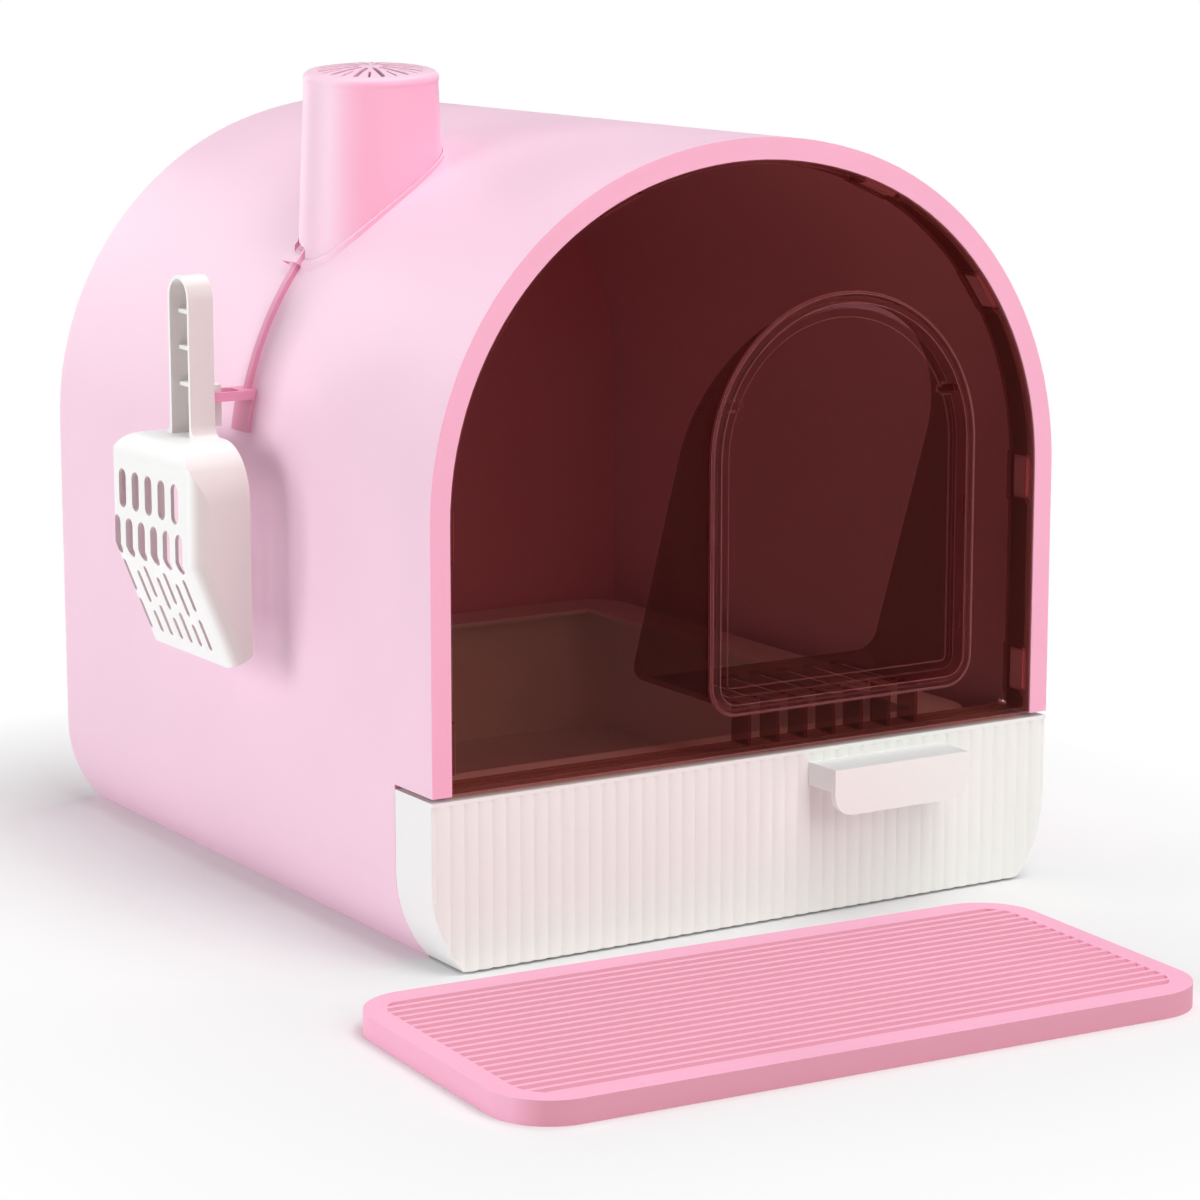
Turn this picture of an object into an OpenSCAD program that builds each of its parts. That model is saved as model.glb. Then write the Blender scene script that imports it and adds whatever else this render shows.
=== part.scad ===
// Drawer litter box: arched housing with a smoky front panel and a flap door,
// a pull-out litter drawer with a reeded front, a deodoriser chimney, a hanging
// scoop and a ribbed mat.
// Millimetres. +X right, +Y back, +Z up; origin on the floor at the centre of the
// housing's footprint. The housing's front face is the plane y = -body_d / 2.

/* [Housing] */
// Width of the housing
body_w = 400; // [394:2:408]
// Depth of the housing
body_d = 460; // [450:5:480]
// Height of the housing at the crown of the arch
body_h = 428; // [427:1:434]
// Thickness of the moulded walls
wall = 3; // [2.5:0.5:4]
// Width of the front rim
rim_w = 11.5; // [9:0.5:13]

/* [Doorway] */
// Sideways position of the doorway's centre
door_x = 57.3; // [40:1:64]
// Half the clear width of the doorway
door_r = 81; // [76:1:84]
// Height of the doorway's sill
door_sill = 125; // [123:1:135]
// Thickness of the tunnel wall
tube_wall = 3; // [2:0.5:4]
// Radial clearance of the flap's hinge pins
pin_gap = 0.1; // [0.05:0.01:0.1]

/* [Drawer] */
// Width of the reeds on the drawer front
reed_pitch = 8.4; // [6:0.2:12]
// Height of the reeds above the drawer front
reed_rise = 1.2; // [0.6:0.1:1.4]
// Length of the litter tray
tray_l = 404; // [360:2:406]
// Sideways position of the handle's centre
handle_x = 81; // [-80:1:100]
// Width of the handle
handle_w = 90; // [70:1:110]

/* [Chimney] */
// Radius of the chimney at its top
chimney_r = 37; // [36:0.5:38]
// Number of vent slots, long and short together
vent_slots = 24; // [12:4:24]
// Width of a long vent slot
vent_w = 2.6; // [1.4:0.2:2.8]

/* [Scoop] */
// Width of the scoop's bowl
scoop_w = 108; // [100:1:116]
// Height of the handle's rounded end
scoop_top = 350; // [345:1:360]

/* [Mat] */
// Width of the mat
mat_w = 398; // [370:2:450]
// Depth of the mat
mat_d = 192; // [160:2:196]
// Distance between the grooves of the mat
mat_pitch = 8.2; // [7:0.2:12]

/* [Hidden] */
$fn = 96;
gap = 0.3;

// colours
pink = [0.96, 0.72, 0.82];
deep_pink = [0.90, 0.56, 0.70];
smoke = [0.31, 0.12, 0.13, 0.6];
white = [0.95, 0.94, 0.93];
steel = [0.7, 0.7, 0.72];
black = [0.15, 0.15, 0.15];

// housing outline
front_y = -body_d / 2;
back_y = body_d / 2;
shoulder_r = 188;
shoulder_z = 238;
arc_x = body_w / 2 - shoulder_r;
arc_k = shoulder_z - body_h;
crown_r = (shoulder_r * shoulder_r - arc_x * arc_x - arc_k * arc_k) / (2 * (arc_k + shoulder_r));
crown_z = body_h - crown_r;
crown_a = atan2(shoulder_z - crown_z, arc_x);
corner_r = 72.5;
corner_z = 50;

// front panel
bay_top = 96.5;
bay_d = 40;
panel_z = bay_top + 0.5;
panel_f = 0.6;
panel_t = 2.5;
panel_in = rim_w + 0.2;
rim_d = 22;
lug_z = [120.5, 231];
lug_a = [34.8, 66];

// doorway and flap
door_z = 256.5;
door_corner = 11;
ring_w = 6.5;
hinge_z = 286;
hinge_f = 5.1;
pin_r = 2;
flap_gap = 3;
flap_f = 4;
flap_t = 2.2;
fin_pitch = 18.6;

// drawer
fascia_top = 94;
fascia_d = 39.7;
fascia_z = 1.5;
reed_n = 2 * ceil(body_w / reed_pitch / 2) - 1;
reed_r = (reed_pitch * reed_pitch / 4 + reed_rise * reed_rise) / (2 * reed_rise);
tray_z = 5.3;
tray_x = 178;
tray_top = 88.5;
tray_t = 2.5;
tray_y = front_y + fascia_d;
flange_x = tray_x + 8;
screw_x = 120;
screw_z = [30, 70];
grip_z = 74.3;
grip_h = 12.7;
grip_f = 25;
lip_z = 61;
lip_t = 4;
grip_screw = 25;

// chimney
chimney_x = -120;
chimney_y = -24.5;
chimney_z = 453.3;
taper = 0.045;
crown_rise = 2.5;
cap_lean = 5;
cap_lip = 0.4;
edge_r = 4;
roof_hole = 33;
dome_x = chimney_r + taper * 5 + cap_lip - edge_r;
dome_r = (dome_x * dome_x + crown_rise * crown_rise) / (2 * crown_rise);
dome_z = edge_r + crown_rise - dome_r;
basket_r = 29;
basket_z = 398;
shelf_z = 436;

// scoop and its hanger
hang_y = -17;
strap_y = -16.7;
strap_w = 5;
strap_t = 2.5;
strap_lip = 4.1;
strap_end = 40.4;
loop_a = 36.8;
loop_y = [-21.5, -2.5];
loop_h = 4.8;
ring_z = 280;
side_x = -body_w / 2;
scoop_y = -18.3;
bowl_x = side_x - 57;
bend_z = 198;
slope_a = atan2(23, 58);
bowl_t = 2;
back_x = side_x - 22.5;
grip_x = side_x - 37.2;
grip_r = 13;

// mat
mat_x = -81.8;
mat_y = front_y - 50.8 - mat_d / 2;
mat_turn = -2.9;
mat_h = 12.5;
mat_r = 32;
mat_rim = 12;
groove_n = floor((mat_d - 2 * mat_rim) / mat_pitch);
groove_d = 2;

// ---------------------------------------------------------------- helpers

// A slab of a 2D shape drawn in X and Z, between two depths behind the front face.
module slab(f0, f1) {
    translate([0, front_y + f1, 0])
        rotate([90, 0, 0])
            linear_extrude(height = f1 - f0)
                children();
}

// The arch above the shoulders, drawn in from the outline by inset.
module arch(inset) {
    for (s = [-1, 1])
        translate([s * arc_x, shoulder_z])
            circle(r = shoulder_r - inset);
    intersection() {
        translate([0, crown_z])
            circle(r = crown_r - inset);
        translate([0, crown_z])
            polygon([[0, 0], [600 * cos(crown_a), 600 * sin(crown_a)],
                     [-600 * cos(crown_a), 600 * sin(crown_a)]]);
    }
}

// The housing's outline, drawn in by inset.
module profile(inset) {
    intersection() {
        union() {
            arch(inset);
            translate([-body_w / 2 + inset, corner_z])
                square([body_w - 2 * inset, shoulder_z - corner_z]);
            for (s = [-1, 1])
                translate([s * (body_w / 2 - corner_r), corner_z])
                    circle(r = corner_r - inset);
            translate([-body_w / 2 + corner_r, 0])
                square([body_w - 2 * corner_r, 60]);
        }
        translate([-body_w, inset])
            square([2 * body_w, 600]);
    }
}

// The outline above a height.
module profile_above(inset, z) {
    intersection() {
        profile(inset);
        translate([-body_w, z])
            square([2 * body_w, 600]);
    }
}

// The eight places round the arch where the housing holds the panel.
module lug_marks(in0, in1, length) {
    for (s = [0, 1])
        mirror([s, 0]) {
            for (z = lug_z)
                translate([body_w / 2 - in1, z - length / 2])
                    square([in1 - in0, length]);
            for (a = lug_a)
                translate([arc_x, shoulder_z])
                    rotate(a)
                        translate([shoulder_r - in1, -length / 2])
                            square([in1 - in0, length]);
        }
}

// A round-cornered rectangle with its corner at the origin.
module round_rect(w, d, r) {
    translate([r, 0])
        square([w - 2 * r, d]);
    translate([0, r])
        square([w, d - 2 * r]);
    for (x = [r, w - r], y = [r, d - r])
        translate([x, y])
            circle(r = r);
}

// A slot with round ends, centred, its length along the second axis.
module slot(w, l) {
    translate([-w / 2, -l / 2 + w / 2])
        square([w, l - w]);
    for (s = [-1, 1])
        translate([0, s * (l / 2 - w / 2)])
            circle(d = w);
}

// The doorway's outline, drawn out by grow.
module doorway(grow) {
    r = door_r + grow;
    c = door_corner + grow;
    z = door_sill - grow;
    translate([door_x, door_z])
        circle(r = r);
    translate([door_x - r, z + c])
        square([2 * r, door_z - z - c]);
    translate([door_x - r + c, z])
        square([2 * (r - c), 2 * c]);
    for (s = [-1, 1])
        translate([door_x + s * (r - c), z + c])
            circle(r = c);
}

// A round bar along Y, from one depth to another.
module bar_y(x, f0, f1, z, r) {
    slab(f0, f1)
        translate([x, z])
            circle(r = r);
}

// A round bar along X at the flap's hinge.
module bar_x(x0, x1, r) {
    translate([x0, front_y + hinge_f, hinge_z])
        rotate([0, 90, 0])
            cylinder(r = r, h = x1 - x0);
}

// The chimney's cone, drawn out by grow.
module cone(grow) {
    z0 = 300;
    translate([chimney_x, chimney_y, z0])
        cylinder(r1 = chimney_r + taper * (457 - z0) + grow, r2 = chimney_r + taper * (457 - 470) + grow,
                 h = 470 - z0);
}

// A layer of the roof round the chimney, this high above the roof.
module roof_layer(high) {
    slab(120, 300)
        difference() {
            profile_above(-high, 300);
            profile(0);
        }
}

// A sector of the left shoulder between two angles.
module shoulder_sector(a0, a1) {
    translate([-arc_x, shoulder_z])
        polygon([[0, 0], [-400 * cos(a0), 400 * sin(a0)], [-400 * cos(a1), 400 * sin(a1)]]);
}

// ---------------------------------------------------------------- housing

module shell() {
    color(pink)
        difference() {
            union() {
                difference() {
                    slab(0, body_d)
                        profile(0);
                    slab(-1, body_d - wall)
                        profile(wall);
                    translate([-body_w, front_y - 1, -1])
                        cube([2 * body_w, bay_d + 1, bay_top + 1]);
                }
                // front rim and the wall that returns behind it
                slab(0, 3)
                    difference() {
                        profile_above(0, bay_top);
                        profile(panel_in);
                    }
                slab(0, rim_d)
                    difference() {
                        profile_above(panel_in - 2.5, bay_top);
                        profile(panel_in);
                    }
                slab(5.7, 15.7)
                    lug_marks(panel_in - 0.5, panel_in + 2.4, 21);
                strap_loop();
            }
            translate([chimney_x, chimney_y, 300])
                cylinder(r = roof_hole, h = 200);
        }
}

// A band of the left shoulder: two depths, two heights above it, two angles.
module shoulder_band(y0, y1, h0, h1, a0, a1) {
    slab(y0 - front_y, y1 - front_y)
        intersection() {
            difference() {
                profile_above(-h1, 300);
                profile(-h0);
            }
            shoulder_sector(a0, a1);
        }
}

// Loop on the shoulder that the scoop hanger's strap is threaded through.
module strap_loop() {
    shoulder_band(loop_y[0], loop_y[1], loop_h - 1.4, loop_h, loop_a, loop_a + 1.4);
    shoulder_band(loop_y[0], loop_y[0] + 1.6, -0.5, loop_h, loop_a, loop_a + 4);
    shoulder_band(loop_y[1] - 1.6, loop_y[1], -0.5, loop_h, loop_a, loop_a + 1.4);
}

module front_panel() {
    color(smoke)
        difference() {
            union() {
                difference() {
                    slab(panel_f, panel_f + 20)
                        profile_above(panel_in, panel_z);
                    slab(panel_f + panel_t, panel_f + 21)
                        profile_above(panel_in + panel_t, panel_z + panel_t);
                }
                // raised frames of the windows that the housing's lugs snap into
                slab(panel_f + panel_t - 0.5, panel_f + 20)
                    lug_marks(panel_in + 1, panel_in + panel_t + 1.3, 28);
            }
            slab(4.2, 18.4)
                lug_marks(panel_in - 0.5, panel_in + panel_t + 2, 25);
            slab(panel_f - 1, panel_f + 10)
                doorway(tube_wall + gap);
        }
}

module entry_tunnel() {
    color(smoke)
        difference() {
            union() {
                // ring on the face of the panel
                slab(-1.2, panel_f)
                    doorway(ring_w);
                slab(-2, panel_f)
                    doorway(ring_w - 1.2);
                // tube, cut off at a slant behind
                intersection() {
                    slab(panel_f - 1, 90)
                        doorway(tube_wall);
                    translate([-body_w, 0, 0])
                        rotate([90, 0, 90])
                            linear_extrude(height = 2 * body_w)
                                polygon([[front_y - 1, 80], [front_y - 1, 400], [front_y + 3, 400],
                                         [front_y + 3, 345], [front_y + 5, 338], [front_y + 84.2, 124],
                                         [front_y + 84.2, 80]]);
                }
                // barbs that snap in behind the panel
                for (s = [-1, 1], z = [150, 215])
                    slab(panel_f + panel_t, panel_f + panel_t + 3)
                        translate([door_x + s * (door_r + tube_wall + 0.4) - 1, z])
                            square([2, 10]);
                // fins between the sill and the panel's lower flange
                for (i = [-3:3])
                    translate([door_x - 2.5 + i * fin_pitch - 1, front_y + panel_f + panel_t + gap,
                               panel_z + panel_t])
                        cube([2, 16.5, door_sill - tube_wall - panel_z - panel_t + 0.5]);
            }
            slab(-3, 100)
                doorway(0);
            // drain slots through the sill
            for (i = [-3:2])
                translate([door_x + 6.8 + i * fin_pitch, front_y + 42, door_sill - tube_wall - 1])
                    linear_extrude(height = tube_wall + 2)
                        slot(9, 56);
            // hinge bores
            bar_x(door_x - door_r - 10, door_x + door_r + 10, pin_r + pin_gap);
        }
}

module runner(s) {
    color(white)
        translate([s * 130 - 7, tray_y + 8, wall])
            cube([14, 390, 2]);
}

module runner_left() {
    runner(-1);
}

module runner_right() {
    runner(1);
}

// ---------------------------------------------------------------- flap

module door_flap() {
    pin_x = sqrt(pow(door_r + tube_wall - 0.4, 2) - pow(hinge_z - door_z, 2));
    color(smoke)
            union() {
                difference() {
                    union() {
                        slab(flap_f, flap_f + flap_t)
                            doorway(-flap_gap);
                        slab(flap_f - 0.7, flap_f + flap_t)
                            difference() {
                                doorway(-flap_gap);
                                doorway(-flap_gap - 5);
                            }
                    }
                    // notches that leave the pins free
                    slab(flap_f - 1, flap_f + flap_t + 1)
                        for (s = [-1, 1])
                            translate([door_x + s * (pin_x - 5), hinge_z])
                                square([12, 6.6], center = true);
                }
                bar_x(door_x - pin_x, door_x - pin_x + 14, pin_r);
                bar_x(door_x + pin_x - 14, door_x + pin_x, pin_r);
            }
}

// ---------------------------------------------------------------- drawer

module fascia_area(inset) {
    intersection() {
        profile(inset);
        translate([-body_w, fascia_z + inset])
            square([2 * body_w, fascia_top - fascia_z - 2 * inset]);
    }
}

module drawer_front() {
    color(white)
        difference() {
            union() {
                // box open to the rear
                difference() {
                    slab(reed_rise, fascia_d)
                        fascia_area(0);
                    slab(reed_rise + wall, fascia_d + 1)
                        fascia_area(wall);
                }
                // plain band along the top edge
                slab(0, reed_rise + 1)
                    intersection() {
                        fascia_area(0);
                        translate([-body_w, fascia_top - 2])
                            square([2 * body_w, 10]);
                    }
                // reeds
                intersection() {
                    slab(0, reed_rise + 1)
                        fascia_area(0);
                    linear_extrude(height = fascia_top - 1)
                        intersection() {
                            for (i = [0:reed_n - 1])
                                translate([(i - (reed_n - 1) / 2) * reed_pitch, front_y + reed_r])
                                    circle(r = reed_r);
                            translate([-body_w, front_y - 1])
                                square([2 * body_w, reed_rise + 1.6]);
                        }
                }
                for (s = [-1, 1], z = screw_z)
                    bar_y(s * screw_x, reed_rise + 1, fascia_d, z, 5);
            }
            // seat of the handle
            slab(-1, reed_rise)
                translate([handle_x - handle_w / 2, grip_z])
                    square([handle_w, grip_h]);
            for (s = [-1, 1])
                bar_y(handle_x + s * grip_screw, -1, 10, grip_z + grip_h / 2, 2.2);
            for (s = [-1, 1], z = screw_z)
                bar_y(s * screw_x, 18, fascia_d + 1, z, 2);
        }
}

module drawer_handle() {
    r = 12;
    color(white)
        difference() {
            union() {
                slab(-grip_f, reed_rise)
                    translate([handle_x - handle_w / 2, grip_z])
                        square([handle_w, grip_h]);
                slab(-grip_f, lip_t - grip_f)
                    difference() {
                        translate([handle_x - handle_w / 2, lip_z])
                            round_rect(handle_w, grip_z + grip_h - lip_z + r, r);
                        translate([handle_x - handle_w, grip_z + grip_h])
                            square([2 * handle_w, 50]);
                    }
            }
            // hollow from behind, in three pockets
            for (i = [-1:1])
                slab(3 - grip_f, reed_rise + 1)
                    translate([handle_x + i * (grip_screw + handle_w / 2 + 2.5) / 2 - (i == 0 ? grip_screw - 5
                               : (handle_w / 2 - grip_screw - 7.5) / 2), grip_z + 2.5])
                        square([i == 0 ? 2 * grip_screw - 10 : handle_w / 2 - grip_screw - 7.5, grip_h - 5]);
            for (s = [-1, 1])
                bar_y(handle_x + s * grip_screw, -17, reed_rise + 1, grip_z + grip_h / 2, 2);
        }
}

module handle_screws() {
    z = grip_z + grip_h / 2;
    f = reed_rise + wall;
    color(steel)
        for (s = [-1, 1])
            difference() {
                union() {
                    bar_y(handle_x + s * grip_screw, f - 18, f + 1, z, 1.9);
                    bar_y(handle_x + s * grip_screw, f, f + 2.5, z, 3.75);
                }
                slab(f + 1.2, f + 3)
                    translate([handle_x + s * grip_screw, z]) {
                        square([4.6, 1], center = true);
                        square([1, 4.6], center = true);
                    }
            }
}

module fascia_screws() {
    f = fascia_d + tray_t;
    color(steel)
        for (s = [-1, 1], z = screw_z)
            difference() {
                union() {
                    bar_y(s * screw_x, f - 20, f + 1, z, 1.9);
                    bar_y(s * screw_x, f, f + 2.2, z, 4);
                }
                slab(f + 1, f + 3)
                    translate([s * screw_x, z]) {
                        square([5, 1.1], center = true);
                        square([1.1, 5], center = true);
                    }
            }
}

module tray_area(grow, r) {
    translate([-tray_x - grow, tray_y - grow])
        round_rect(2 * (tray_x + grow), tray_l + 2 * grow, r + grow);
}

module flange_area() {
    translate([-flange_x, tray_y])
        round_rect(2 * flange_x, tray_l + 8, 30);
}

module litter_tray() {
    color(white)
        difference() {
            union() {
                translate([0, 0, tray_z])
                    linear_extrude(height = tray_top - tray_z)
                        tray_area(0, 28);
                translate([0, 0, tray_top - 2.5])
                    linear_extrude(height = 2.5)
                        flange_area();
            }
            translate([0, 0, tray_z + tray_t])
                linear_extrude(height = 100)
                    tray_area(-tray_t, 28);
            for (s = [-1, 1], z = screw_z)
                bar_y(s * screw_x, fascia_d - 1, fascia_d + tray_t + 1, z, 2.2);
        }
}

module tray_rim() {
    color(white)
        difference() {
            union() {
                translate([0, 0, tray_top])
                    linear_extrude(height = 2.5)
                        flange_area();
                translate([0, 0, tray_top - 8])
                    linear_extrude(height = 9)
                        tray_area(-tray_t - gap, 28);
            }
            translate([0, 0, tray_top - 9])
                linear_extrude(height = 9)
                    tray_area(-tray_t - gap - 2, 28);
            translate([0, 0, tray_top - 9])
                linear_extrude(height = 20)
                    tray_area(-24, 28);
        }
}

// ---------------------------------------------------------------- chimney

module chimney_collar() {
    color(pink)
        difference() {
            union() {
                intersection() {
                    difference() {
                        cone(2);
                        cone(-5);
                    }
                    roof_layer(1);
                }
                intersection() {
                    difference() {
                        cone(2);
                        cone(0.4);
                    }
                    roof_layer(2.2);
                }
                intersection() {
                    difference() {
                        cone(-3);
                        cone(-5);
                    }
                    roof_layer(8);
                }
            }
            strap_way(strap_lip + gap, gap, 36);
            // clearance for the strap's loop
            shoulder_band(loop_y[0] - gap, loop_y[1] + gap, -1, 10, loop_a - 2, loop_a + 4.2);
        }
}

// The way of the strap's end under the chimney's foot, this high.
module strap_way(high, side, a0) {
    shoulder_band(strap_y - strap_w / 2 - side, strap_y + strap_w / 2 + side, -1, high, a0, strap_end + 0.6);
}

// The chimney's top lies at a slight lean towards the front left.
module on_cap() {
    translate([chimney_x, chimney_y, chimney_z])
        rotate(a = cap_lean, v = [0.85, -0.53, 0])
            children();
}

module chimney() {
    r0 = chimney_r + taper * 157;
    r1 = chimney_r + taper * 5;
    r2 = chimney_r - taper * 13;
    color(pink)
        difference() {
            union() {
                difference() {
                    translate([chimney_x, chimney_y, 300])
                        cylinder(r1 = r0, r2 = r2, h = 170);
                    on_cap()
                        translate([-60, -60, 0])
                            cube([120, 120, 60]);
                }
                on_cap()
                    rotate_extrude() {
                        translate([0, -1])
                            square([dome_x + edge_r, 1]);
                        square([dome_x, edge_r]);
                        intersection() {
                            translate([dome_x, 0])
                                circle(r = edge_r);
                            square([100, 20]);
                        }
                        intersection() {
                            translate([0, dome_z])
                                circle(r = dome_r);
                            square([dome_x, 20]);
                        }
                    }
            }
            difference() {
                translate([chimney_x, chimney_y, 299])
                    cylinder(r1 = r0 + taper - 2.5, r2 = r2 - 2.5, h = 171);
                on_cap()
                    translate([-60, -60, -1])
                        cube([120, 120, 60]);
                // three ledges that hold the basket
                for (i = [0:2])
                    translate([chimney_x, chimney_y, shelf_z - 4])
                        rotate([0, 0, 120 * i])
                            rotate_extrude(angle = 30)
                                translate([33.3, 0])
                                    square([10, 4]);
            }
            on_cap()
                rotate_extrude() {
                    translate([0, -1.5])
                        square([r1 - 3.5, 1.5]);
                    intersection() {
                        translate([0, dome_z])
                            circle(r = dome_r - 2.5);
                        square([dome_x - 1, 20]);
                    }
                }
            // the foot follows the roof and clears the strap and its loop
            slab(100, 320)
                profile(-1 - gap);
            shoulder_band(loop_y[0] - 0.5, loop_y[1] + 0.5, -3, loop_h + 0.7, 20, loop_a + 4.4);
            strap_way(strap_lip + 0.7, 0.5, 20);
            // vent slots in the crown
            on_cap()
                for (i = [0:vent_slots - 1])
                    rotate([0, 0, i * 360 / vent_slots])
                        translate([i % 2 == 0 ? 24 : 18.25, 0, -0.5])
                            rotate([0, 0, 90])
                                linear_extrude(height = 20)
                                    slot(i % 2 == 0 ? 1.4 : vent_w, i % 2 == 0 ? 12 : 23.5);
        }
}

module deodoriser_basket() {
    color(white)
        translate([chimney_x, chimney_y, 0])
            difference() {
                union() {
                    translate([0, 0, basket_z])
                        cylinder(r = basket_r, h = shelf_z + 2 - basket_z);
                    translate([0, 0, shelf_z])
                        cylinder(r = 34.4, h = 2);
                }
                translate([0, 0, basket_z + 2])
                    cylinder(r = basket_r - 2, h = 60);
                // gaps that let the flange pass the ledges
                for (i = [0:2])
                    translate([0, 0, shelf_z - 1])
                        rotate([0, 0, 120 * i + 56])
                            rotate_extrude(angle = 38)
                                translate([32.8, 0])
                                    square([5, 5]);
                // air holes
                translate([0, 0, basket_z - 1])
                    linear_extrude(height = 4) {
                        circle(d = 8);
                        for (i = [0:5])
                            rotate(60 * i)
                                translate([11, 0])
                                    circle(d = 7);
                        for (i = [0:11])
                            rotate(30 * i + 15)
                                translate([21, 0])
                                    circle(d = 7);
                    }
                for (i = [0:11])
                    rotate([0, 0, 30 * i])
                        translate([0, -20, basket_z + 20])
                            rotate([90, 0, 0])
                                linear_extrude(height = 20)
                                    slot(5, 22);
            }
}

module carbon_pack() {
    color(black)
        translate([chimney_x, chimney_y, basket_z + 2])
            cylinder(r = basket_r - 2.5, h = 20);
}

// ---------------------------------------------------------------- scoop

module scoop_hanger() {
    color(deep_pink)
        union() {
            // strap that follows the housing's side, with a lip that snaps past the loop
            slab(strap_y - front_y - strap_w / 2, strap_y - front_y + strap_w / 2)
                difference() {
                    intersection() {
                        profile_above(-strap_t, ring_z);
                        shoulder_sector(0, strap_end);
                    }
                    profile(0);
                }
            shoulder_band(strap_y - strap_w / 2, strap_y + strap_w / 2, 1, strap_lip, strap_end - 1.2, strap_end);
            // wider tail below the ring
            slab(hang_y - front_y - 9, hang_y - front_y + 11)
                difference() {
                    intersection() {
                        profile_above(-2, 261.5);
                        translate([-body_w, 0])
                            square([body_w - 100, ring_z + 5]);
                    }
                    profile(0);
                }
            translate([0, 0, ring_z])
                linear_extrude(height = 5)
                    difference() {
                        translate([side_x - 22.2, hang_y - 10])
                            round_rect(35, 20, 6);
                        translate([side_x - 20, hang_y - 7.8])
                            round_rect(17, 15.6, 4);
                        translate([side_x + 4.2, hang_y - 20])
                            square([40, 40]);
                    }
        }
}

// A tube with the plan of the scoop's bowl, its walls drawn in by t.
module bowl_tube(t) {
    translate([bowl_x + t, scoop_y - scoop_w / 2 + t, bend_z - 150])
        linear_extrude(height = 300)
            round_rect(90, scoop_w - 2 * t, 11 - t);
}

// The bowl's skin: upright above the bend, sloping in below it.
module bowl_skin(t) {
    intersection() {
        bowl_tube(t);
        translate([bowl_x, scoop_y, bend_z])
            rotate([0, -slope_a, 0])
                translate([t, -scoop_w / 2 - 0.2 + t, -150])
                    linear_extrude(height = 300)
                        round_rect(90, scoop_w + 0.4 - 2 * t, 11 - t);
    }
}

// Side view of the bowl, its top rounded.
module bowl_side(t, top, foot) {
    translate([0, scoop_y + 200, 0])
        rotate([90, 0, 0])
            linear_extrude(height = 400) {
                r = 14 - t;
                translate([bowl_x + t + r, top - t - r])
                    circle(r = r);
                translate([bowl_x + t + r, foot])
                    square([back_x - bowl_x - t - r + (t > 0 ? 5 : 0), top - t - foot]);
                translate([bowl_x + t, foot])
                    square([2 * r, top - t - r - foot]);
            }
}

// Front view of the bowl: round shoulders above, square at the blade.
module bowl_front(t) {
    translate([bowl_x - 10, 0, 0])
        rotate([90, 0, 90])
            linear_extrude(height = 80)
                translate([scoop_y - scoop_w / 2 + t, 90])
                    round_rect(scoop_w - 2 * t, 172 - t, 30 - t);
}

module scoop_slots(ys, z, w, l) {
    for (y = ys)
        translate([bowl_x - 5, y, z])
            rotate([90, 0, 90])
                linear_extrude(height = 33)
                    slot(w, l);
}

// The handle's outline, drawn in by t.
module grip_area(t, foot) {
    translate([scoop_y - grip_r + t, foot])
        square([2 * (grip_r - t), scoop_top - grip_r - foot]);
    translate([scoop_y, scoop_top - grip_r])
        circle(r = grip_r - t);
}

module scoop() {
    flare = 7;
    color(white)
        difference() {
            union() {
                difference() {
                    intersection() {
                        bowl_skin(0);
                        bowl_side(0, 262, 100);
                        bowl_front(0);
                    }
                    intersection() {
                        bowl_skin(bowl_t);
                        bowl_side(bowl_t, 262, 90);
                        bowl_front(bowl_t);
                    }
                    // the blade's edge, cut off at a slant
                    translate([0, scoop_y + 200, 0])
                        rotate([90, 0, 0])
                            linear_extrude(height = 400)
                                polygon([[bowl_x, 80], [bowl_x, 132], [side_x - 34, 139.6],
                                         [back_x + 1, 147], [back_x + 1, 80]]);
                }
                // handle, flared where it joins the bowl
                translate([grip_x, 0, 0])
                    rotate([90, 0, 90])
                        linear_extrude(height = back_x - grip_x) {
                            grip_area(0, 260.5);
                            for (s = [-1, 1])
                                difference() {
                                    translate([scoop_y + s * (grip_r + flare / 2 - 0.5), 260.5 + flare / 2 + 0.25])
                                        square([flare + 1, flare + 0.5], center = true);
                                    translate([scoop_y + s * (grip_r + flare), 261.5 + flare])
                                        circle(r = flare);
                                }
                        }
                // hook behind the handle
                translate([back_x - 1, hang_y - 4, ring_z + 5 + gap])
                    cube([side_x - 13.5 - back_x + 1, 8, 3.5]);
                translate([side_x - 17, hang_y - 4, ring_z - 14])
                    cube([3.5, 8, 20]);
            }
            // channel in the handle, open to the outside, with three ribs
            difference() {
                translate([grip_x - 1, 0, 0])
                    rotate([90, 0, 90])
                        linear_extrude(height = back_x - grip_x - 1)
                            grip_area(2.2, 262);
                for (z = [289.5, 309.5, 329.5])
                    translate([grip_x + 5, scoop_y - grip_r, z - 1.1])
                        cube([20, 2 * grip_r, 2.2]);
            }
            scoop_slots([for (i = [-2:2]) hang_y + 16.6 * i], 230, 9, 22);
            scoop_slots([for (i = [-2:3]) hang_y + 2 + 15.8 * (i - 0.5)], 203, 9, 22);
            scoop_slots([25, -1.5, -26.5, -51], 179.2, 4, 18.5);
            scoop_slots([10.5, -14.5, -38.5], 174.5, 4, 19);
            scoop_slots([25, -1.5, -26.5, -51], 156.5, 4, 18);
            scoop_slots([10.5, -14.5, -38.5], 154, 4, 13);
        }
}

// ---------------------------------------------------------------- mat

module mat_area(inset) {
    translate([-mat_w / 2 + inset, -mat_d / 2 + inset])
        round_rect(mat_w - 2 * inset, mat_d - 2 * inset, mat_r - inset);
}

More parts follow.
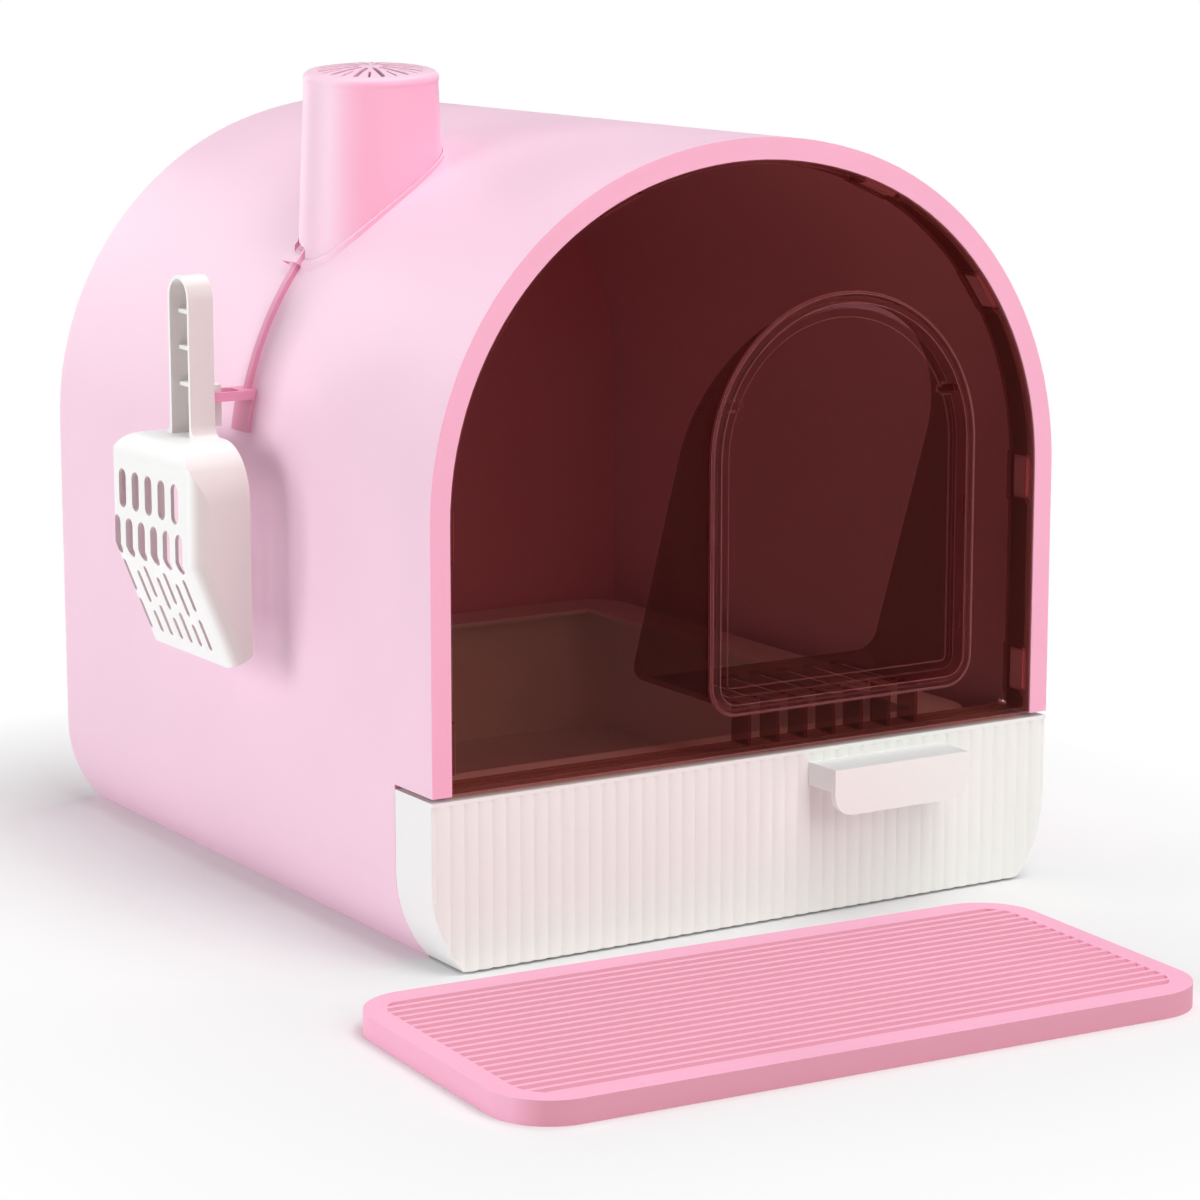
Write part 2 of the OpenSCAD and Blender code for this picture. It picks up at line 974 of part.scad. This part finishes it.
module mat() {
    color(deep_pink)
        translate([mat_x, mat_y, 0])
            rotate([0, 0, mat_turn])
                difference() {
                    linear_extrude(height = mat_h)
                        mat_area(0);
                    // grooves across the top, with sloping walls
                    intersection() {
                        linear_extrude(height = 40)
                            mat_area(mat_rim);
                        for (i = [0:groove_n - 1])
                            translate([-mat_w / 2, (i - (groove_n - 1) / 2) * mat_pitch, mat_h])
                                rotate([90, 0, 90])
                                    linear_extrude(height = mat_w)
                                        polygon([[-3.2, 1], [-2.6, 0], [-1.2, -groove_d], [1.2, -groove_d],
                                                 [2.6, 0], [3.2, 1]]);
                    }
                    // hollow underside with ribs
                    translate([0, 0, -1])
                        linear_extrude(height = mat_h - 4)
                            difference() {
                                mat_area(3);
                                for (i = [-2:2])
                                    translate([i * 70 - 1, -mat_d / 2])
                                        square([2, mat_d]);
                                for (i = [-1, 1])
                                    translate([-mat_w / 2, i * 30 - 1])
                                        square([mat_w, 2]);
                            }
                }
}

// ---------------------------------------------------------------- nodes

shell();
front_panel();
entry_tunnel();
runner_left();
runner_right();
chimney_collar();
scoop_hanger();
door_flap();
drawer_front();
drawer_handle();
handle_screws();
fascia_screws();
litter_tray();
tray_rim();
chimney();
deodoriser_basket();
carbon_pack();
scoop();
mat();
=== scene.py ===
# Drawer litter box: materials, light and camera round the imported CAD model.
# Metres, in the frame's axes: +X right, +Y back, +Z up, the floor at z = 0.
import math

import bpy
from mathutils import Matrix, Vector


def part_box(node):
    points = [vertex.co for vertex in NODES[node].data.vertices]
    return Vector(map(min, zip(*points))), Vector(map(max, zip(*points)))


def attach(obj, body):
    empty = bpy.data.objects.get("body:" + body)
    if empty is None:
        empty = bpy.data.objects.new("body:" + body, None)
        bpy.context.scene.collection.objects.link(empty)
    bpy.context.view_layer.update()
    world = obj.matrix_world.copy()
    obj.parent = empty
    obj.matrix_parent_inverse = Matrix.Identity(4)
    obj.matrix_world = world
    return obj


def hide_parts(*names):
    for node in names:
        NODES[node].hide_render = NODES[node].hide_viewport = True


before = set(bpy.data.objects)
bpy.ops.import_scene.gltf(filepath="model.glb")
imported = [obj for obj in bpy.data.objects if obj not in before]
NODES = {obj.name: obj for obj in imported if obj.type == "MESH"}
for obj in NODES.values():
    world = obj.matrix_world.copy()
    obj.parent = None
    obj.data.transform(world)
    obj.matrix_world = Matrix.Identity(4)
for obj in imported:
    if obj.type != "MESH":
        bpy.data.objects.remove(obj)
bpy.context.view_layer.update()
WHITE = (1.0, 1.0, 1.0, 1.0)


# ---------------------------------------------------------------- materials

def linear(rgb):
    """sRGB 0-255 to linear RGBA."""
    out = []
    for c in rgb:
        c /= 255
        out.append(c / 12.92 if c <= 0.04045 else ((c + 0.055) / 1.055) ** 2.4)
    return (*out, 1.0)


class Mat:
    """A material with a Principled shader, and short ways to add nodes to it."""

    def __init__(self, name, rgb, rough):
        self.m = bpy.data.materials.new(name)
        self.m.use_nodes = True
        self.nt = self.m.node_tree
        self.p = self.nt.nodes["Principled BSDF"]
        self.out = self.nt.nodes["Material Output"]
        self.rgb = linear(rgb)
        self.p.inputs["Base Color"].default_value = self.rgb
        self.p.inputs["Roughness"].default_value = rough
        self.coords = self.node("ShaderNodeTexCoord")
        self.place = self.coords.outputs["Object"]

    def link(self, a, b):
        self.nt.links.new(a, b)

    def node(self, kind, links=None, **sets):
        """A new node. sets are values for its properties or sockets, links are other sockets."""
        n = self.nt.nodes.new(kind)
        for k, v in sets.items():
            if hasattr(n, k):
                setattr(n, k, v)
            else:
                n.inputs[k.replace("_", " ")].default_value = v
        for k, v in (links or {}).items():
            self.link(v, n.inputs[k])
        return n

    def vector(self, operation, a, b=None):
        """The vector maths of a, a socket, and b, a plain vector."""
        n = self.node("ShaderNodeVectorMath", {0: a}, operation=operation)
        if b:
            n.inputs[1].default_value = b
        return n.outputs

    def noise(self, scale, detail):
        return self.node("ShaderNodeTexNoise", {"Vector": self.place}, Scale=scale, Detail=detail,
                         Roughness=0.5).outputs["Fac"]

    def span(self, value, a, b, lo=0.3, hi=0.7):
        """value from lo to hi, turned into a to b and held there beyond."""
        n = self.node("ShaderNodeMapRange", {"Value": value}, From_Min=lo, From_Max=hi,
                      To_Min=a, To_Max=b)
        return n.outputs["Result"]

    def blend(self, fac, a, b, how="MIX"):
        """Colour a where fac is 0, colour b where it is 1; each a value or a socket."""
        n = self.node("ShaderNodeMix", data_type="RGBA", blend_type=how)
        first, second, result = n.inputs[6], n.inputs[7], n.outputs[2]
        for socket, v in ((n.inputs["Factor"], fac), (first, a), (second, b)):
            if isinstance(v, bpy.types.NodeSocket):
                self.link(v, socket)
            else:
                socket.default_value = v
        return result

    def times(self, a, b):
        """The product of two colours."""
        return self.blend(1.0, a, b, "MULTIPLY")

    def bump(self, height, strength, distance, under=None):
        """A bump, on top of the bump named under."""
        n = self.node("ShaderNodeBump", {"Height": height}, Strength=strength, Distance=distance)
        if under:
            self.link(under, n.inputs["Normal"])
        return n.outputs["Normal"]

    def surface(self, shader):
        self.link(shader, self.out.inputs["Surface"])


# Where a moulded face counts as looking forwards, by its normal's Y, and so takes the painted
# front colour: not yet, and in full.
PAINTED_FRONT_SPAN = (-0.42, -0.82)
# Noise scales of moulded plastic: slow clouds, the mould's flow marks and the fine grain.
CLOUDS, FLOW, GRAIN = 9, 60, 1500
FLOW_HEIGHT, GRAIN_HEIGHT = 0.0006, 0.0001


def moulded(name, rgb, rough, front=None, grain=1.0, tone=0.03):
    """Satin injection-moulded plastic: fine grain, slow changes of gloss and tone.
    front is a colour painted on the faces that look forwards: painted shade by the way a face
    looks, not a tone of the plastic."""
    m = Mat(name, rgb, rough)
    slow = m.noise(CLOUDS, 3)
    m.link(m.span(slow, rough - 0.04, rough + 0.05), m.p.inputs["Roughness"])
    colour = m.rgb
    if front:
        # Painted shade: faces that look forwards take the front colour, in place of how the light
        # falls on them.
        axes = m.node("ShaderNodeSeparateXYZ", {"Vector": m.coords.outputs["Normal"]})
        painted_front_mask = m.span(axes.outputs["Y"], 1, 0, PAINTED_FRONT_SPAN[1], PAINTED_FRONT_SPAN[0])
        colour = m.blend(painted_front_mask, m.rgb, linear(front))
    shade = m.blend(m.span(slow, 1, 0), WHITE, (1 - tone, 1 - tone, 1 - tone, 1))
    m.link(m.times(colour, shade), m.p.inputs["Base Color"])
    wavy = m.bump(m.noise(FLOW, 2), 0.05 * grain, FLOW_HEIGHT)
    grained = m.bump(m.noise(GRAIN, 1), 0.10 * grain, GRAIN_HEIGHT, wavy)
    m.link(grained, m.p.inputs["Normal"])
    return m


SMOKY_ROUGH = 0.05
SMOKY_IOR = 1.45
# Painted highlight: the paler red that the sharp edges of the smoky plastic take, with less
# clearness, in place of light caught on the edges.
SMOKY_EDGE_HIGHLIGHT = linear((200, 112, 116))
# How far the rounded normal leans from the true one on a sharp edge, and on a flat face (cosines).
EDGE_LEAN = (0.85, 0.985)
EDGE_SHARE = 0.45


def smoky(name, body, clear, share, edge=0.0014):
    """Clear tinted plastic. body is its own dark red, clear the tint of what shows through it,
    share how much shows through. Within edge of a sharp edge it is paler and less clear: a painted
    highlight on the edges."""
    m = Mat(name, (255, 255, 255), SMOKY_ROUGH)
    # rim is the painted highlight's mask: 1 on sharp edges, where the rounded normal leans from
    # the true one.
    soft = m.node("ShaderNodeBevel", Radius=edge, samples=4)
    true = m.node("ShaderNodeNewGeometry")
    lean = m.node("ShaderNodeVectorMath", {0: soft.outputs["Normal"], 1: true.outputs["Normal"]},
                  operation="DOT_PRODUCT")
    rim = m.span(lean.outputs["Value"], 1, 0, *EDGE_LEAN)
    cloud = m.span(m.noise(14, 3), 0.88, 1.1)
    grey = m.node("ShaderNodeCombineXYZ", {0: cloud, 1: cloud, 2: cloud}).outputs[0]
    m.link(m.blend(rim, m.times(body, grey), SMOKY_EDGE_HIGHLIGHT), m.p.inputs["Base Color"])
    m.p.inputs["IOR"].default_value = SMOKY_IOR
    m.link(m.span(m.noise(30, 2), SMOKY_ROUGH - 0.02, SMOKY_ROUGH + 0.03), m.p.inputs["Roughness"])
    m.link(m.bump(m.noise(18, 2), 0.04, 0.001), m.p.inputs["Normal"])
    through = m.node("ShaderNodeBsdfTransparent", Color=clear)
    share_at = m.span(rim, share, share * EDGE_SHARE, 0, 1)
    m.surface(m.node("ShaderNodeMixShader", {0: share_at, 1: m.p.outputs[0],
                                             2: through.outputs[0]}).outputs[0])
    return m


def screw_steel():
    m = Mat("screw_steel", (190, 190, 194), 0.32)
    m.p.inputs["Metallic"].default_value = 1.0
    m.link(m.span(m.noise(400, 2), 0.24, 0.42), m.p.inputs["Roughness"])
    return m


def charcoal_cloth():
    m = Mat("charcoal_cloth", (46, 45, 46), 0.9)
    weave = m.node("ShaderNodeTexWave", {"Vector": m.place}, Scale=420.0, Distortion=2.0)
    threads = m.span(m.noise(700, 3), 0, 1)
    m.link(m.blend(threads, linear((30, 30, 31)), linear((70, 69, 70))), m.p.inputs["Base Color"])
    m.link(m.bump(weave.outputs["Fac"], 0.5, 0.0003), m.p.inputs["Normal"])
    return m


# Painted light in these colours: the shell's pale pink on sides and top is painted sheen and its
# deeper front pink painted shade; the darker fronts of the strap, scoop and mat are painted shade,
# and the white's front tint is painted light too.
pink = moulded("pink_plastic", (251, 213, 232), 0.42, front=(255, 182, 208))
deep = moulded("deep_pink_plastic", (240, 158, 190), 0.40, front=(233, 150, 181))
white = moulded("white_plastic", (246, 247, 246), 0.38, front=(248, 248, 242), tone=0.012)
scoop_white = moulded("scoop_plastic", (252, 252, 251), 0.36, front=(224, 211, 209), tone=0.012)
mat_pink = moulded("mat_plastic", (253, 182, 210), 0.52, front=(226, 154, 174), grain=1.6)
smoke = smoky("smoky_plastic", (0.07, 0.011, 0.010, 1.0), (0.80, 0.625, 0.585, 1.0), 0.92)
smoke_ring = smoky("smoky_ring", (0.19, 0.040, 0.038, 1.0), (0.70, 0.52, 0.485, 1.0), 0.84,
                   edge=0.0012)
smoke_flap = smoky("smoky_flap", (0.08, 0.016, 0.014, 1.0), (0.80, 0.635, 0.59, 1.0), 0.92,
                   edge=0.0006)
steel = screw_steel()
felt = charcoal_cloth()

# Each node's material, and the width of the small bevel on its sharp edges, if it has one.
FINISH = {
    "shell": (pink, 0.0012),
    "chimney": (pink, 0.0006),
    "chimney_collar": (pink, 0.0005),
    "scoop_hanger": (deep, 0.0006),
    "front_panel": (smoke, None),
    "entry_tunnel": (smoke_ring, 0.0005),
    "door_flap": (smoke_flap, 0.0004),
    "drawer_front": (white, 0.0008),
    "drawer_handle": (white, 0.0015),
    "litter_tray": (white, 0.001),
    "tray_rim": (white, 0.0008),
    "runner_left": (white, 0.0005),
    "runner_right": (white, 0.0005),
    "scoop": (scoop_white, 0.0012),
    "deodoriser_basket": (white, 0.0005),
    "mat": (mat_pink, 0.0015),
    "handle_screws": (steel, None),
    "fascia_screws": (steel, None),
    "carbon_pack": (felt, None),
}
SHARP = math.radians(35)
for name, (finish, width) in FINISH.items():
    ob = NODES[name]
    for s in ob.material_slots:
        s.material = finish.m
    if width:
        bevel = ob.modifiers.new("edge", "BEVEL")
        bevel.width = width
        bevel.segments = 3
        bevel.limit_method = "ANGLE"
        bevel.angle_limit = SHARP
        bevel.harden_normals = True

# The panel fits the rim with no play: a hair of clearance keeps the two faces apart.
PANEL_PLAY = 0.00015
play = NODES["front_panel"].modifiers.new("play", "DISPLACE")
play.mid_level = 0.0
play.strength = -PANEL_PLAY


# ---------------------------------------------------------------- charcoal pouch

AROUND, RINGS = 180, 26
PUCKERS = 34
SEAM_AT = 0.94  # where the flat seam starts, as a share of the way out
BELLY = 0.93  # the stuffed part's radius, as a share of the whole
SEAM_T = 0.0004  # half the seam's thickness
RUFFLE, PUCKER_DEPTH, LUMP = 0.0005, 0.0009, 0.0004


def pouch_point(t, ang, r, half):
    """The radius and height of the pouch's upper skin, at t of the way out from its middle."""
    pucker = 0.5 + 0.5 * math.sin(ang * PUCKERS + 0.7 * math.sin(ang * 5))
    if t > SEAM_AT:
        out = (t - SEAM_AT) / (1 - SEAM_AT)
        return r * (BELLY + (1 - BELLY) * out), SEAM_T + RUFFLE * (pucker - 0.5) * out
    u = t / SEAM_AT
    lump = math.sin(ang * 7 + t * 9) * math.sin(ang * 3 - t * 14 + 1.3)
    z = (half - 2 * SEAM_T) * max(0.0, math.cos(u * math.pi / 2)) ** 0.45 + SEAM_T
    z += LUMP * lump * (1 - u) - PUCKER_DEPTH * pucker * u ** 4
    return r * BELLY * math.sin(u * math.pi / 2) ** 0.9, z


def pouch():
    """A round cloth pouch full of charcoal: a seam round its waist, puckers beside it, and
    lumps inside."""
    low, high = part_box("carbon_pack")
    cx, cy, mid = ((a + b) / 2 for a, b in zip(low, high))
    r, half = (high[0] - low[0]) / 2, (high[2] - low[2]) / 2
    verts, faces = [], []
    for side in (1, -1):
        base = len(verts)
        for k in range(RINGS + 1):
            for a in range(AROUND):
                ang = 2 * math.pi * a / AROUND
                rad, z = pouch_point(k / RINGS, ang, r, half)
                verts.append((cx + rad * math.cos(ang), cy + rad * math.sin(ang),
                              mid + side * max(z, SEAM_T / 2)))
        for k in range(RINGS):
            ring, outer = base + k * AROUND, base + (k + 1) * AROUND
            for a in range(AROUND):
                b = (a + 1) % AROUND
                quad = (ring + a, outer + a, outer + b, ring + b)
                faces.append(quad if side > 0 else quad[::-1])
    edge_top, edge_low = RINGS * AROUND, (2 * RINGS + 1) * AROUND
    for a in range(AROUND):
        b = (a + 1) % AROUND
        faces.append((edge_top + a, edge_low + a, edge_low + b, edge_top + b))
    mesh = bpy.data.meshes.new("charcoal_pouch")
    mesh.from_pydata(verts, [], faces)
    mesh.materials.append(felt.m)
    mesh.polygons.foreach_set("use_smooth", [True] * len(mesh.polygons))
    ob = bpy.data.objects.new("charcoal_pouch", mesh)
    bpy.context.scene.collection.objects.link(ob)
    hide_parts("carbon_pack")
    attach(ob, "chimney")


pouch()


# ---------------------------------------------------------------- stage

FLOOR_HALF = 12.0
FLOOR_GREY = (237, 237, 237)
FLOOR_FADE = 0.24  # how far from the object the floor turns as white as the backdrop


def distance_from(m, name):
    """How far a point of the floor is from a node's own rectangle on it."""
    low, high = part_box(name)
    middle = ((low[0] + high[0]) / 2, (low[1] + high[1]) / 2, 0)
    reach = ((high[0] - low[0]) / 2, (high[1] - low[1]) / 2, 0)
    across = m.vector("SUBTRACT", m.place, middle)[0]
    aside = m.vector("ABSOLUTE", across)[0]
    beyond = m.vector("SUBTRACT", aside, reach)[0]
    away = m.vector("MAXIMUM", beyond, (0, 0, 0))[0]
    return m.vector("LENGTH", away)["Value"]


def stage_floor():
    """A seamless white floor: it takes the object's shadow, and to the camera it is as white
    as the backdrop farther off."""
    mesh = bpy.data.meshes.new("floor")
    s = FLOOR_HALF
    mesh.from_pydata([(-s, -s, 0), (s, -s, 0), (s, s, 0), (-s, s, 0)], [], [(0, 1, 2, 3)])
    ob = bpy.data.objects.new("floor", mesh)
    bpy.context.scene.collection.objects.link(ob)
    m = Mat("floor", FLOOR_GREY, 0.9)
    m.p.inputs["Specular IOR Level"].default_value = 0.0
    near = [distance_from(m, name) for name in ("shell", "mat")]
    nearest = m.node("ShaderNodeMath", {0: near[0], 1: near[1]}, operation="MINIMUM")
    far = m.span(nearest.outputs[0], 0, 1, 0.0, FLOOR_FADE)
    seen = m.node("ShaderNodeLightPath").outputs["Is Camera Ray"]
    share = m.node("ShaderNodeMath", {0: far, 1: seen}, operation="MULTIPLY")
    glow = m.node("ShaderNodeEmission")
    m.surface(m.node("ShaderNodeMixShader", {0: share.outputs[0], 1: m.p.outputs[0],
                                             2: glow.outputs[0]}).outputs[0])
    mesh.materials.append(m.m)


WORLD_STRENGTH = 0.19


def studio_world():
    """White to the camera, and a weak even light on the object."""
    world = bpy.data.worlds.new("studio")
    bpy.context.scene.world = world
    world.use_nodes = True
    nt = world.node_tree
    light_only = nt.nodes["Background"]
    light_only.inputs["Color"].default_value = WHITE
    light_only.inputs["Strength"].default_value = WORLD_STRENGTH
    seen = nt.nodes.new("ShaderNodeBackground")
    seen.inputs["Color"].default_value = WHITE
    path = nt.nodes.new("ShaderNodeLightPath")
    mix = nt.nodes.new("ShaderNodeMixShader")
    nt.links.new(path.outputs["Is Camera Ray"], mix.inputs[0])
    nt.links.new(light_only.outputs[0], mix.inputs[1])
    nt.links.new(seen.outputs[0], mix.inputs[2])
    nt.links.new(mix.outputs[0], nt.nodes["World Output"].inputs["Surface"])


# Square soft lamps: place, size in metres, power in watts. All of them look at MIDDLE.
MIDDLE = (0, 0, 0.2)
LAMPS = {
    "left": ((-2.7, 0.5, 0.65), 1.6, 36),
    "front": ((0.45, -3.0, 1.3), 1.6, 23.5),
    "right": ((2.7, 0.3, 1.4), 1.6, 7),
    "top_right": ((1.3, 0.3, 2.7), 1.8, 13),
    "top": ((0.3, -0.55, 3.0), 2.2, 35),
    "top_front": ((0.2, -1.8, 2.5), 1.6, 23),
    "back": ((-0.6, 3.0, 0.95), 1.6, 21),
}


def light(name, place, size, watts):
    data = bpy.data.lights.new(name, "AREA")
    data.energy = watts
    data.size = size
    ob = bpy.data.objects.new(name, data)
    ob.location = place
    ob.rotation_euler = (Vector(MIDDLE) - Vector(place)).to_track_quat("-Z", "Y").to_euler()
    bpy.context.scene.collection.objects.link(ob)


EYE = (-1.110, -1.858, 0.5585)
TILT, TURN = 79.14, -31.85  # degrees: from straight down, and to the right of +Y
LENS, SENSOR = 112.0, 36  # millimetres


def camera():
    cam = bpy.data.cameras.new("camera")
    cam.sensor_width = SENSOR
    cam.lens = LENS
    ob = bpy.data.objects.new("camera", cam)
    ob.location = EYE
    ob.rotation_euler = (math.radians(TILT), 0, math.radians(TURN))
    bpy.context.scene.collection.objects.link(ob)
    bpy.context.scene.camera = ob


stage_floor()
studio_world()
for name, lamp in LAMPS.items():
    light(name, *lamp)
camera()
bpy.context.scene.view_settings.view_transform = "Standard"
